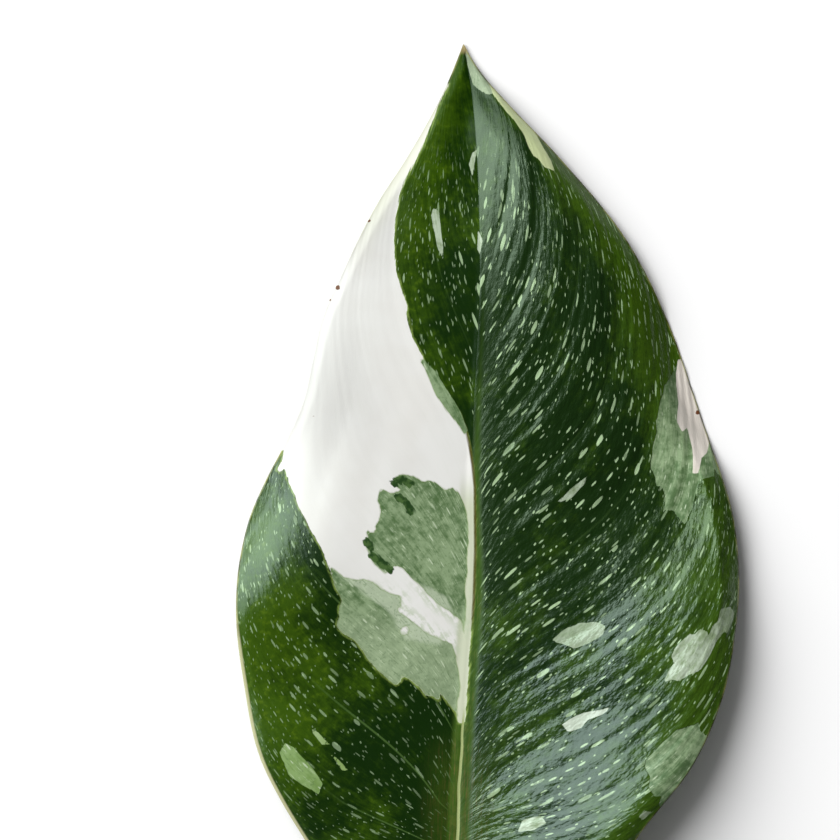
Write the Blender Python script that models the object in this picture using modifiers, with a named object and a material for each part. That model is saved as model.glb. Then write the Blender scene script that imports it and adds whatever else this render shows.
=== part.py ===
"""A picked philodendron leaf with its stalk, lying right way up on a flat surface.

Metres, +Z up. The tip points along +Y. The leaf is centred on X and Y, and its lowest places are
at Z = 0. The blade, its midrib and its stalk grew as one piece, so they are one solid.

The blade is a grid bent to chosen heights. The midrib lies in a shallow valley, the left half is
nearly level, the right half rises to a crest and droops again to its edge, most of all round its
lobe, and shallow pleats follow the side veins. A place on one half is given by two numbers. The
station is the height of a row along the blade, and below the fan's top the rows turn round the lobe
like the ribs of a fan. The share runs from 0 at the midrib to 1 at the edge.
"""
import math

import bmesh
import bpy
import numpy as np

MM = 0.001

# Driving dimensions, in metres
BLADE_THICKNESS = 0.7 * MM
LEAF_TIP = 125.8 * MM  # the tip is cut blunt here, just short of its point
STALK_JOINT = (-6.2 * MM, -47.0 * MM)  # where the stalk runs into the blade
STALK_END = -125.9 * MM  # the stalk's cut end
FAN_TOP = -25.0 * MM  # the lowest row that runs straight across
FAN_SPAN = 55.0 * MM  # stations given to the rows that turn round each lobe
FAN_START = 0.065  # the share of the fan that lies hidden in the stalk
MIDRIB_PROUD = 0.14  # of its radius: how far the midrib stands out of the blade's upper face
VEIN_PITCH = 17.3 * MM  # between main side veins, along the midrib
FIRST_VEIN = -20.8 * MM
LEFT_VEIN_SHIFT = 4.0 * MM  # the veins of the two halves leave the midrib by turns
PLEAT_DEPTH = 0.14 * MM
PLEAT_START = 0.06  # the share of the way out where the pleats begin
PLEAT_FULL = 0.22  # and where they are at their full depth
WAVE_DEPTH = 0.6 * MM  # of the slow wave along each edge
WAVE_LENGTH = 38.0 * MM
FULL_RELIEF = 22.0 * MM  # rows shorter than this have shallower pleats and waves
NARROW_ROW = 6.0 * MM  # rows shorter than this are flatter
RESTING_HEIGHT = 0.62 * MM  # of the upper face where the edge lies on the surface
RESTING_BEND = 0.25 * MM  # how softly the blade bends there

# Fineness of the grid and of the stalk
ROWS = 64
COLUMNS = 24
EDGE_SAMPLES = 1500
VEIN_STEPS = 10
STALK_POINTS = 46
FLOOR_MARGIN = 20 * MM  # how far the floor cutter reaches past the leaf

# The edge of each half in millimetres, from the stalk round the lobe and up to the tip
LEFT_EDGE = (
    (-6.2, -47.0), (-9.5, -50.4), (-15.5, -51.8), (-23.0, -48.6), (-31.0, -40.6), (-36.5, -32.4),
    (-41.1, -24.8), (-45.1, -16.8), (-48.7, -0.8), (-50.1, 11.2), (-49.5, 23.2), (-47.7, 31.2),
    (-44.3, 39.2), (-40.3, 46.8), (-36.7, 55.2), (-34.9, 63.2), (-33.1, 71.2), (-29.6, 79.2),
    (-21.5, 95.2), (-16.3, 103.2), (-7.7, 119.2), (-5.6, 124.4), (-4.8, 126.5),
)
RIGHT_EDGE = (
    (-6.2, -47.0), (-2.8, -50.6), (3.5, -52.4), (12.0, -50.2), (21.5, -42.4), (31.5, -28.8),
    (40.9, -16.8), (47.3, -1.6), (49.0, 7.2), (50.1, 18.2), (49.1, 31.2), (44.3, 47.2),
    (41.6, 55.2), (35.9, 71.2), (27.7, 87.2), (14.7, 103.2), (3.3, 115.2), (-0.3, 119.3),
    (-3.7, 124.3), (-4.8, 126.5),
)

# The midrib in millimetres: along the leaf, across it, and the height of the blade beside it
MIDRIB_KEYS = (-47.0, -32.4, -8.8, 5.2, 15.2, 35.2, 55.2, 75.2, 95.2, 107.0, 118.0, 126.0)
MIDRIB_ACROSS = (-6.2, -6.0, -4.9, -3.9, -3.1, -3.1, -2.5, -1.5, -1.7, -2.3, -3.3, -4.8)
MIDRIB_HEIGHT = (4.7, 3.85, 3.45, 3.5, 3.7, 4.1, 4.8, 5.1, 4.4, 3.0, 1.0, 0.9)

# Heights of the upper face in millimetres, a row for each station and a column for each share
# past the midrib
STATIONS = (-80, -70, -58, -42, -25, -5, 15, 35, 55, 79, 99, 118, 126)
SHARES = (0, 0.2, 0.45, 0.7, 0.88, 1)
LEFT_HEIGHTS = (
    (4.7, 4.7, 4.7, 4.7, 4.7),
    (4.9, 5.0, 5.0, 4.9, 4.7),
    (4.9, 5.3, 5.4, 5.2, 4.8),
    (4.5, 5.0, 5.4, 5.2, 4.8),
    (4.1, 4.6, 5.0, 5.0, 4.6),
    (3.9, 4.4, 4.8, 4.9, 4.6),
    (4.1, 4.6, 5.3, 5.4, 4.4),
    (4.5, 5.0, 4.8, 2.8, -1.0),
    (5.0, 5.1, 5.2, 5.1, 4.4),
    (4.9, 4.9, 5.0, 5.1, 5.1),
    (3.9, 3.9, 4.0, 4.1, 4.1),
    (1.2, 1.4, 1.6, 1.8, 1.8),
    (0.9, 0.9, 0.9, 0.9, 0.9),
)
RIGHT_HEIGHTS = (
    (4.7, 4.7, 4.7, 4.7, 4.7),
    (4.9, 5.1, 5.3, 5.3, 5.1),
    (4.9, 6.2, 7.8, 8.6, 8.2),
    (4.6, 6.8, 9.8, 11.4, 10.6),
    (4.4, 7.4, 11.6, 13.5, 12.7),
    (4.0, 6.2, 9.2, 10.0, 8.7),
    (4.2, 5.1, 7.7, 8.4, 6.2),
    (4.5, 4.3, 3.7, 3.7, 4.1),
    (5.4, 5.6, 4.8, 3.0, -1.6),
    (6.2, 7.2, 6.4, 4.4, 1.8),
    (5.4, 6.7, 6.5, 4.8, 2.2),
    (1.7, 2.7, 3.4, 3.3, 2.5),
    (0.9, 0.9, 0.9, 0.9, 0.9),
)

# The angle of the side veins from the leaf's length, in degrees, where they leave the midrib, how
# much further out than the edge they point when they reach it, and how late they bend
VEIN_KEYS = (-25, -5, 15, 35, 55, 79, 95)
VEIN_ANGLE = (68, 64, 60, 54, 55, 38, 22)
VEIN_BEND = (3.0, 3.0, 2.9, 2.7, 1.3, 1.0, 1.0)
VEIN_EDGE_ANGLE = 10

# The stalk and midrib in millimetres: radius along their whole length, and the stalk's upper side
STEM_KEYS = (-126, -110, -60, -47, -30, -5, 15, 35, 55, 79, 99, 115, 123)
STEM_RADIUS = (2.6, 2.4, 2.4, 2.4, 2.2, 1.95, 1.75, 1.5, 1.3, 1.05, 0.85, 0.6, 0.4)
STALK_KEYS = (-126, -104, -85, -64, -47)
STALK_TOP = (5.0, 5.8, 6.2, 5.7, 5.05)
STALK_ACROSS = (-1.0, -1.6, -3.0, -5.0, -6.2)


def smooth(keys, values, at):
    """Reads a smooth curve through the values at rising keys. A value may be an array like at."""
    keys = np.asarray(keys, float)
    values = np.asarray(values, float)
    slopes = np.gradient(values, keys, axis=0)
    at = np.clip(at, keys[0], keys[-1])
    low = np.clip(np.searchsorted(keys, at) - 1, 0, len(keys) - 2)
    span = keys[low + 1] - keys[low]
    part = (at - keys[low]) / span
    rest = 1 - part

    def read(table, row):
        if table.ndim == 1:
            return table[row]
        return np.take_along_axis(table, row[None], axis=0)[0]

    near = read(values, low) * (1 + 2 * part) + read(slopes, low) * span * part
    far = read(values, low + 1) * (1 + 2 * rest) - read(slopes, low + 1) * span * rest
    return near * rest**2 + far * part**2


def smooth_mm(keys, values, at):
    """The same for tables in millimetres, read and returned in metres."""
    return smooth(keys, values, np.asarray(at) / MM) * MM


def midrib_across(along):
    return smooth_mm(MIDRIB_KEYS, MIDRIB_ACROSS, along)


class Half:
    """One half of the blade, with side -1 for the left and 1 for the right."""

    def __init__(self, side, edge, heights, vein_shift):
        self.side = side
        self.heights = np.array(heights)
        self.vein_shift = vein_shift
        points = np.array(edge) * MM
        steps = np.linalg.norm(np.diff(points, axis=0), axis=1)
        along = np.concatenate([[0], np.cumsum(steps)])
        fine = np.linspace(0, along[-1], EDGE_SAMPLES)
        self.edge_x = smooth(along, points[:, 0], fine)
        self.edge_y = smooth(along, points[:, 1], fine)
        top = np.argmin(np.abs(self.edge_y - FAN_TOP))
        fan = FAN_TOP - FAN_SPAN * (1 - fine / fine[top])
        self.edge_station = np.where(np.arange(EDGE_SAMPLES) < top, fan, self.edge_y)

    def edge_at(self, station):
        x = np.interp(station, self.edge_station, self.edge_x)
        y = np.interp(station, self.edge_station, self.edge_y)
        return x, y

    def root_at(self, station):
        """The end of a row on the midrib."""
        turned = np.clip((station - FAN_TOP) / FAN_SPAN + 1, 0, 1)
        low = STALK_JOINT[1] + (FAN_TOP - STALK_JOINT[1]) * turned**1.4
        y = np.where(station < FAN_TOP, low, station)
        return midrib_across(y), y

    def vein_climb(self, station, share):
        """How far a side vein climbs along the leaf for each share of the way out."""
        row = np.maximum(station, FAN_TOP)
        step = 0.5 * MM
        root = midrib_across(row) * self.side
        edge = self.edge_at(row)[0] * self.side
        root_slope = (midrib_across(row + step) * self.side - root) / step
        edge_slope = (self.edge_at(row + step)[0] * self.side - edge) / step
        start = np.radians(smooth(VEIN_KEYS, VEIN_ANGLE, row / MM))
        end = np.arctan(edge_slope) + math.radians(VEIN_EDGE_ANGLE)
        bend = smooth(VEIN_KEYS, VEIN_BEND, row / MM)
        angle = start + (end - start) * share**bend
        drift = root_slope + (edge_slope - root_slope) * share
        climb = (edge - root) * np.cos(angle) / (np.sin(angle) - drift * np.cos(angle))
        fan = np.clip((station - FAN_TOP) / FAN_SPAN + 1, 0, 1)
        return climb * fan

    def vein_start(self, station, share):
        """The station where the side vein through a place leaves the midrib."""
        for step in range(VEIN_STEPS):
            here = share * (1 - (step + 0.5) / VEIN_STEPS)
            station = station - self.vein_climb(station, here) * share / VEIN_STEPS
        return station

    def height(self, station, share):
        """The height of the blade's upper face."""
        root_x, root_y = self.root_at(station)
        edge_x, edge_y = self.edge_at(station)
        reach = np.hypot(edge_x - root_x, edge_y - root_y)
        relief = np.clip(reach / FULL_RELIEF, 0, 1) ** 2
        valley = smooth_mm(MIDRIB_KEYS, MIDRIB_HEIGHT, root_y)
        columns = [smooth_mm(STATIONS, column, station) for column in self.heights.T]
        height = smooth(SHARES, [valley] + columns, share)
        height = valley + (height - valley) * np.clip(reach / NARROW_ROW, 0, 1)
        wave = np.sin(2 * math.pi * station / WAVE_LENGTH + self.side)
        height += WAVE_DEPTH * relief * share**3 * wave
        vein = (self.vein_start(station, share) - FIRST_VEIN - self.vein_shift) / VEIN_PITCH
        pleat = np.clip((share - PLEAT_START) / (PLEAT_FULL - PLEAT_START), 0, 1)
        pleat *= relief * (1 - 0.6 * share**4)
        height -= PLEAT_DEPTH * pleat * np.cos(2 * math.pi * vein)
        above = (height - RESTING_HEIGHT) / RESTING_BEND
        return RESTING_HEIGHT + RESTING_BEND * np.logaddexp(0, above)

    def place(self, station, share):
        root_x, root_y = self.root_at(station)
        edge_x, edge_y = self.edge_at(station)
        x = root_x + (edge_x - root_x) * share
        y = root_y + (edge_y - root_y) * share
        return x, y, self.height(station, share)


def make_material():
    material = bpy.data.materials.new("leaf_green")
    material.use_nodes = True
    shader = material.node_tree.nodes["Principled BSDF"]
    shader.inputs["Base Color"].default_value = (0.03, 0.085, 0.018, 1)
    shader.inputs["Roughness"].default_value = 0.42
    shader.inputs["Metallic"].default_value = 0
    return material


def make_blade(collection, halves):
    """A grid whose points are moved onto the leaf, given thickness downwards."""
    bm = bmesh.new()
    bmesh.ops.create_grid(bm, x_segments=COLUMNS, y_segments=ROWS, size=1)
    spots = np.array([vert.co[:2] for vert in bm.verts])
    out = np.abs(spots[:, 0])
    share = out * (1.25 - 0.25 * out)
    low = FAN_TOP - FAN_SPAN * (1 - FAN_START)
    station = low + (LEAF_TIP - low) * (spots[:, 1] + 1) / 2
    left, right = (np.stack(half.place(station, share), axis=1) for half in halves)
    for vert, spot in zip(bm.verts, np.where(spots[:, :1] < 0, left, right)):
        vert.co = spot
    bmesh.ops.triangulate(bm, faces=bm.faces)
    bmesh.ops.recalc_face_normals(bm, faces=bm.faces)
    mesh = bpy.data.meshes.new("leaf")
    bm.to_mesh(mesh)
    bm.free()
    if mesh.polygons[0].normal.z < 0:
        mesh.flip_normals()
    mesh.shade_smooth()
    blade = bpy.data.objects.new("leaf", mesh)
    collection.objects.link(blade)
    thickness = blade.modifiers.new("Thickness", "SOLIDIFY")
    thickness.thickness = BLADE_THICKNESS
    thickness.offset = -1
    thickness.use_even_offset = True
    return blade


def make_stem(collection):
    """The midrib and the stalk, one tapering rod that is joined to the blade."""
    along = np.linspace(STALK_END, STEM_KEYS[-1] * MM, STALK_POINTS)
    radius = smooth_mm(STEM_KEYS, STEM_RADIUS, along)
    on_blade = along > STALK_JOINT[1]
    rib_top = smooth_mm(MIDRIB_KEYS, MIDRIB_HEIGHT, along) + MIDRIB_PROUD * radius
    top = np.where(on_blade, rib_top, smooth_mm(STALK_KEYS, STALK_TOP, along))
    across = np.where(on_blade, midrib_across(along), smooth_mm(STALK_KEYS, STALK_ACROSS, along))
    curve = bpy.data.curves.new("stem", "CURVE")
    curve.dimensions = "3D"
    curve.bevel_depth = radius[0]
    curve.bevel_resolution = 3
    curve.use_fill_caps = True
    line = curve.splines.new("POLY")
    line.points.add(STALK_POINTS - 1)
    for point, x, y, z, r in zip(line.points, across, along, top - radius, radius):
        point.co = (x, y, z, 1)
        point.radius = r / radius[0]
    rod = bpy.data.objects.new("stem_curve", curve)
    collection.objects.link(rod)
    return made_mesh(rod, "stem", collection)


def made_mesh(rod, name, collection):
    """Turns a curve into a closed mesh that a Boolean can read."""
    bpy.context.view_layer.update()
    evaluated = rod.evaluated_get(bpy.context.evaluated_depsgraph_get())
    mesh = bpy.data.meshes.new_from_object(evaluated)
    bm = bmesh.new()
    bm.from_mesh(mesh)
    bmesh.ops.remove_doubles(bm, verts=bm.verts, dist=0.01 * MM)
    bmesh.ops.recalc_face_normals(bm, faces=bm.faces)
    bm.to_mesh(mesh)
    bm.free()
    solid = bpy.data.objects.new(name, mesh)
    solid.matrix_world = rod.matrix_world
    collection.objects.link(solid)
    bpy.data.objects.remove(rod)
    return solid


def make_floor(collection):
    """What lies below the surface, cut away so that the leaf rests on small flats."""
    bm = bmesh.new()
    bmesh.ops.create_cube(bm, size=1)
    size = 2 * (LEAF_TIP + FLOOR_MARGIN)
    for vert in bm.verts:
        vert.co = (vert.co.x * size, vert.co.y * size, (vert.co.z - 0.5) * FLOOR_MARGIN)
    mesh = bpy.data.meshes.new("floor")
    bm.to_mesh(mesh)
    bm.free()
    floor = bpy.data.objects.new("floor", mesh)
    collection.objects.link(floor)
    return floor


def add_boolean(target, other, operation):
    """Joins or cuts the target with another solid, which is then only a guide."""
    boolean = target.modifiers.new(other.name, "BOOLEAN")
    boolean.operation = operation
    boolean.object = other
    other.hide_render = True
    other.display_type = "WIRE"


def main():
    for old in list(bpy.data.objects):
        bpy.data.objects.remove(old)
    leaf_parts = bpy.data.collections.new("philodendron_leaf")
    guides = bpy.data.collections.new("guides")
    bpy.context.scene.collection.children.link(leaf_parts)
    bpy.context.scene.collection.children.link(guides)
    left = Half(-1, LEFT_EDGE, LEFT_HEIGHTS, LEFT_VEIN_SHIFT)
    right = Half(1, RIGHT_EDGE, RIGHT_HEIGHTS, 0)
    leaf = make_blade(leaf_parts, (left, right))
    add_boolean(leaf, make_stem(guides), "UNION")
    add_boolean(leaf, make_floor(guides), "DIFFERENCE")
    leaf.data.materials.append(make_material())


main()
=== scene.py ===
"""A picked philodendron leaf, variegated in white, cream and grey-green.

The leaf grew as one piece. Two meshes stand for it, the blade, and the stalk with the rib that it runs
on as. The blade is a fine grid laid out by the solid's own rules: a place on one half is given by its
station along the leaf and its share of the way from the midrib to the edge. Every point also knows its
side vein and its distance to each coloured area, and the materials draw the markings from that.
"""
import math

import bpy
import numpy as np
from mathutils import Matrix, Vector


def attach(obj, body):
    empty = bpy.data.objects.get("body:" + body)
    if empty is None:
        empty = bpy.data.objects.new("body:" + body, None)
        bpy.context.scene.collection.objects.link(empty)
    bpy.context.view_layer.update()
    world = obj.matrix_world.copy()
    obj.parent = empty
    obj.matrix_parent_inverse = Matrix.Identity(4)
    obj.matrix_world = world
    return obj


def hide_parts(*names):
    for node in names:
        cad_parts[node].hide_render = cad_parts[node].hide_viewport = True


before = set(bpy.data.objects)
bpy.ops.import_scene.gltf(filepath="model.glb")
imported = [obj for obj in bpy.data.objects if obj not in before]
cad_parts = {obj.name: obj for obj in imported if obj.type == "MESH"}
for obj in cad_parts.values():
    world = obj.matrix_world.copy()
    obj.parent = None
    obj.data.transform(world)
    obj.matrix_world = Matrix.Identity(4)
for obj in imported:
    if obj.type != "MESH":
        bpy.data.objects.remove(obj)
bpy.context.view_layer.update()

MM = 0.001
PX = 0.2 * MM  # one pixel of the photograph on the leaf

# The solid's driving dimensions, in metres
BLADE_THICKNESS = 0.7 * MM
LEAF_TIP = 126.3 * MM
STALK_JOINT = (-6.2 * MM, -47 * MM)
STALK_END = -125.9 * MM
FAN_TOP = -25 * MM
FAN_SPAN = 55 * MM
FAN_START = 0.065
FAN_BEND = 1.4
MIDRIB_PROUD = 0.14
VEIN_PITCH = 17.3 * MM
FIRST_VEIN = -20.8 * MM
LEFT_VEIN_SHIFT = 4 * MM
PLEAT_DEPTH = 0.14 * MM
PLEAT_START = 0.06
PLEAT_FULL = 0.22
PLEAT_LOSS = 0.6  # of the pleats' depth, at the edge
WAVE_DEPTH = 0.6 * MM
WAVE_LENGTH = 38 * MM
FULL_RELIEF = 22 * MM
NARROW_ROW = 6 * MM
RESTING_HEIGHT = 0.62 * MM
RESTING_BEND = 0.25 * MM
EDGE_SAMPLES = 1500
RIM_STRIDE = 9  # of those samples, one in so many marks the rim
VEIN_STEPS = 10

# The edge of each half in millimetres, from the stalk round the lobe and up to the tip
LEFT_EDGE = (
    (-6.2, -47), (-9.5, -50.4), (-15.5, -51.8), (-23, -48.6), (-31, -40.6), (-36.5, -32.4),
    (-41.1, -24.8), (-45.1, -16.8), (-48.7, -0.8), (-50.1, 11.2), (-49.5, 23.2), (-47.7, 31.2),
    (-44.3, 39.2), (-40.3, 46.8), (-36.7, 55.2), (-34.9, 63.2), (-33.1, 71.2), (-29.6, 79.2),
    (-21.5, 95.2), (-16.3, 103.2), (-7.7, 119.2), (-5.6, 124.4), (-4.8, 126.5),
)
RIGHT_EDGE = (
    (-6.2, -47), (-2.8, -50.6), (3.5, -52.4), (12, -50.2), (21.5, -42.4), (31.5, -28.8),
    (40.9, -16.8), (47.3, -1.6), (49, 7.2), (50.1, 18.2), (49.1, 31.2), (44.3, 47.2),
    (41.6, 55.2), (35.9, 71.2), (27.7, 87.2), (14.7, 103.2), (3.3, 115.2), (-0.3, 119.3),
    (-3.7, 124.3), (-4.8, 126.5),
)

# The midrib in millimetres: along the leaf, across it, and the height of the blade beside it
MIDRIB_KEYS = (-47.0, -32.4, -8.8, 5.2, 15.2, 35.2, 55.2, 75.2, 95.2, 107.0, 118.0, 126.0)
MIDRIB_ACROSS = (-6.2, -6.0, -4.9, -3.9, -3.1, -3.1, -2.5, -1.5, -1.7, -2.3, -3.3, -4.8)
MIDRIB_HEIGHT = (4.7, 3.85, 3.45, 3.5, 3.7, 4.1, 4.8, 5.1, 4.4, 3.0, 1.0, 0.9)

# Heights of the upper face in millimetres, a row for each station and a column for each share
# past the midrib
STATIONS = (-80, -70, -58, -42, -25, -5, 15, 35, 55, 79, 99, 118, 126)
SHARES = (0, 0.2, 0.45, 0.7, 0.88, 1)
LEFT_HEIGHTS = (
    (4.7, 4.7, 4.7, 4.7, 4.7),
    (4.9, 5.0, 5.0, 4.9, 4.7),
    (4.9, 5.3, 5.4, 5.2, 4.8),
    (4.5, 5.0, 5.4, 5.2, 4.8),
    (4.1, 4.6, 5.0, 5.0, 4.6),
    (3.9, 4.4, 4.8, 4.9, 4.6),
    (4.1, 4.6, 5.3, 5.4, 4.4),
    (4.5, 5.0, 4.8, 2.8, -1.0),
    (5.0, 5.1, 5.2, 5.1, 4.4),
    (4.9, 4.9, 5.0, 5.1, 5.1),
    (3.9, 3.9, 4.0, 4.1, 4.1),
    (1.2, 1.4, 1.6, 1.8, 1.8),
    (0.9, 0.9, 0.9, 0.9, 0.9),
)
RIGHT_HEIGHTS = (
    (4.7, 4.7, 4.7, 4.7, 4.7),
    (4.9, 5.1, 5.3, 5.3, 5.1),
    (4.9, 6.2, 7.8, 8.6, 8.2),
    (4.6, 6.8, 9.8, 11.4, 10.6),
    (4.4, 7.4, 11.6, 13.5, 12.7),
    (4.0, 6.2, 9.2, 10.0, 8.7),
    (4.2, 5.1, 7.7, 8.4, 6.2),
    (4.5, 4.3, 3.7, 3.7, 4.1),
    (5.4, 5.6, 4.8, 3.0, -1.6),
    (6.2, 7.2, 6.4, 4.4, 1.8),
    (5.4, 6.7, 6.5, 4.8, 2.2),
    (1.7, 2.7, 3.4, 3.3, 2.5),
    (0.9, 0.9, 0.9, 0.9, 0.9),
)

# The side veins' angle from the leaf's length in degrees where they leave the midrib, how late they
# bend, and how much further out than the edge they point when they reach it
VEIN_KEYS = (-25, -5, 15, 35, 55, 79, 95)
VEIN_ANGLE = (68, 64, 60, 54, 55, 38, 22)
VEIN_BEND = (3.0, 3.0, 2.9, 2.7, 1.3, 1.0, 1.0)
VEIN_EDGE_ANGLE = 10

# The stalk and midrib in millimetres: radius along their whole length, and the stalk's upper side
STEM_KEYS = (-126, -110, -60, -47, -30, -5, 15, 35, 55, 79, 99, 115, 123)
STEM_RADIUS = (2.6, 2.4, 2.4, 2.4, 2.2, 1.95, 1.75, 1.5, 1.3, 1.05, 0.85, 0.6, 0.4)
STALK_KEYS = (-126, -104, -85, -64, -47)
STALK_TOP = (5.0, 5.8, 6.2, 5.7, 5.05)
STALK_ACROSS = (-1.0, -1.6, -3.0, -5.0, -6.2)

# Fineness of the upper face. The under face has half as many rows and columns.
ROWS = 360
COLUMNS = 100
CROWDING = 0.3  # how much closer the columns stand at the midrib and at the edge

# The fine relief, in metres
GROOVE_DEPTH = 0.08 * MM  # of the line pressed in at a main side vein
GROOVE_WIDTH = 0.7 * MM
RIDGE_PITCHES = (2.3 * MM, 3.1 * MM, 4.3 * MM, 6.2 * MM)  # across the veins, near the midrib
RIDGE_DEPTHS = (0.045 * MM, 0.055 * MM, 0.06 * MM, 0.04 * MM)
RIDGE_DRIFT = (0.9, 17 * MM, 31 * MM)  # how far it wanders, and over what lengths out and along
RIDGE_FADE = (0.4, 14 * MM, 9 * MM)  # the same for how much it comes and goes
RIDGE_PHASES = (2.1, 1.7, 4)  # of drift, fade and place from one ridge to the next
DENT_PITCHES = (4.5 * MM, 9 * MM, 17 * MM)
DENT_DEPTHS = (0.03 * MM, 0.07 * MM, 0.1 * MM)
DENT_CELLS = 80  # each way
DENT_SEED = 7
LEFT_CALM = 0.14  # share of the fine relief on the left half, which is flatter
LEFT_SWEEP = (15 * MM, 9 * MM)  # how far a side vein climbs beside the midrib, and how close to it
RIGHT_SWEEP = (6.5 * MM, 4 * MM)
SWEEP_STATIONS = (-60 * MM, -25 * MM, 30 * MM, 95 * MM)  # where veins sweep so, fully between the middle two
BANK_RISE = 0.9 * MM  # of the right half beside the midrib
BANK_REACH = 3 * MM
BANK_SHARES = (0.3, 0.9)  # where it falls off towards the edge
BANK_STATIONS = (40 * MM, 75 * MM)  # where it falls off towards the tip
EDGE_THIN = 0.32 * MM  # how far the upper face sinks where the blade thins out at its edge
EDGE_REACH = 2.2 * MM
ROLL_DEPTH = 0.5 * MM  # of the right edge, which turns down in a narrow band
ROLL_CREST = 1.3 * MM  # of the crest along the band's inner side
ROLL_REACH = 3.8 * MM
ROLL_STATIONS = (4 * MM, 18 * MM, 40 * MM, 48 * MM)  # where the band starts, is full and ends
UNDER_VEIN = 0.28 * MM  # how far the main side veins stand out of the under face
UNDER_SPREAD = 1.2  # their width there, for that of the grooves above
UNDER_RIB = (0.32, 0.45)  # height and reach of the swelling beside the rib, for its radius
LEAST_THICKNESS = 0.24 * MM
LOWEST = 0.02 * MM
RIB_HIDDEN = 0.1 * MM  # how far the stem lies below the blade's own midrib
RIB_FADE = (60 * MM, 92 * MM)  # where the midrib sinks into a fold
RIB_RISE = 5 * MM  # over which it rises out of the stalk's joint
RIB_SPREAD = 1.05  # its half width on the upper face, for its radius

# The stem's mesh, in metres and as shares of its radius
STEM_END = 121.5 * MM
STEM_RINGS = 380
STEM_SIDES = 40
JOINT_REACH = 4 * MM
CUT_SINK = (0.25 * MM, 0.1 * MM, 0.0, 0.02 * MM, 0.16 * MM)  # the cut end is a little hollow
CUT_SIZE = (0.25, 0.6, 0.85, 0.95, 1.0)
LAST_RING = (0.2 * MM, 0.3)  # past the stem's end, and its size
CHANNEL_DEPTH = 0.16  # of the shallow channel along the stalk's upper side
CHANNEL_WIDTH = 0.5
LINE_DEPTH = 0.012
LINE_COUNTS = (11, 4)

# Dashes on the tissues: cell in millimetres, length for width, radius, share of cells filled, seed
FLECKS = (
    (1.25, 1.5, 0.18, 0.3, 3),
    (1.6, 4, 0.17, 0.5, 11),
    (2.1, 5, 0.28, 0.5, 23),
    (3.2, 3, 0.44, 0.18, 37),
)
SAGE_FLECKS = (1.5, 3, 0.18, 0.5, 31)
FLECK_POWER = 2.6  # between an ellipse at 2 and a box

# Gloss and fine bumps
CRUMPLE_DEPTH = 0.25 * MM
FIBRE_DEPTH = 0.1 * MM
WAX_IOR = 1.5
STALK_IOR = 1.42
WAX_ROUGHNESS = 0.14
UNDER_ROUGHNESS = 0.45
GREEN_GLOSS = (0.74, 1, 0.74, 1)
BLUE_GLOSS = (0.77, 1, 0.94, 1)

# Camera, light and floor
PHOTO_SIDE = 840
VIEW_MIDDLE = (-67.5 * PX, 256 * PX)
CAMERA_HEIGHT = 1.2
CAMERA_LENS = 200
LAMP_HEADING = (-0.83, 0.56, 0)
LAMP_HEIGHT_ANGLE = math.radians(40)
LAMP_DISTANCE = 2.5
LAMP_SIZE = 2.8
LAMP_POWER = 110
ROOM_LEVEL = 2.4  # at the horizon on the window's side
ROOM_EDGE = -0.4  # where that ends, as a cosine of the angle from the window's heading
DIM_LEVEL = 0.09  # added everywhere
LIGHT_LEVEL = 1.3  # how much brighter than its own colour a level surface looks
FLOOR_REACH = 4.0
FLOOR_CLOUD = 0.3
FLOOR_COLOURS = ((0.85, 0.85, 0.85, 1), (0.87, 0.87, 0.87, 1))

# The markings' outlines in millimetres, across and along the leaf. Where one meets the leaf's edge
# it runs on outside it.
WHITE_SECTOR = (
    (-7.7, 118.3), (-9.3, 115.2), (-10.1, 113.2), (-10.9, 111), (-12.2, 107.8), (-14.3, 103),
    (-16.1, 100), (-17.5, 96.4), (-18.5, 91.4),
    (-18.7, 86.2), (-18.3, 81), (-17.5, 78.2), (-16.1, 74), (-16.3, 72.6), (-15.1, 67.8),
    (-13.1, 64), (-12.7, 62.4), (-10.1, 59.6), (-8.1, 56.4), (-5.7, 52.4), (-4.5, 49.6),
    (-3.7, 45.8), (-3.1, 42), (-2.7, 37.8), (-2.6, 25.4), (-2.9, 15.2), (-3.3, 9.4), (-3.7, 4),
    (-4.1, -3), (-4.5, -9.2), (-5.9, -9.2), (-6.1, -7.2), (-7, -6.2), (-8.2, -4.6), (-9.4, -3.3),
    (-9.8, -4.6), (-11.1, -3.7), (-12.3, -3.9), (-13.3, -2.3), (-15.1, -0.7), (-17.2, 0.5),
    (-17.4, -0.9), (-18.4, -1.6), (-21.3, 0.8), (-23.7, 3.2), (-24.9, 5.4), (-26.4, 7.3),
    (-28.8, 8.7), (-30.1, 10.1), (-29.6, 12.4), (-29.4, 14.4), (-29.1, 15.2), (-30.4, 18.5),
    (-31.5, 21.2), (-32.5, 24), (-33.5, 26.4), (-35.3, 29.2), (-36.7, 32), (-38.1, 34.8),
    (-38.5, 36.4), (-39.7, 38.8), (-40.5, 41.6), (-41.3, 40.6), (-42.1, 41.4), (-41.1, 42.8),
    (-40.7, 45.2), (-44.5, 45.6), (-44.5, 55.2), (-31.5, 95.2), (-16.5, 112.2), (-10.5, 120.2),
)
LOBE_SAGE = (
    (-31.3, 21.8), (-30.4, 21.2), (-28.8, 19.9), (-26.8, 19.4), (-24.5, 19.4), (-22.9, 18.9),
    (-21.3, 17.7), (-19.2, 16.5), (-17.4, 16.1), (-17.2, 13.4), (-15.1, 11.8), (-13.1, 10.2),
    (-11.5, 8.9), (-9, 7.7), (-7.2, 6.9), (-6.4, 4.2), (-5.8, 0.8), (-5.5, -2.3), (-6.1, -5.4),
    (-6.1, -8), (-8.5, -8), (-18.5, -4.8), (-31.5, 7.2), (-33.5, 23.2),
)
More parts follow.
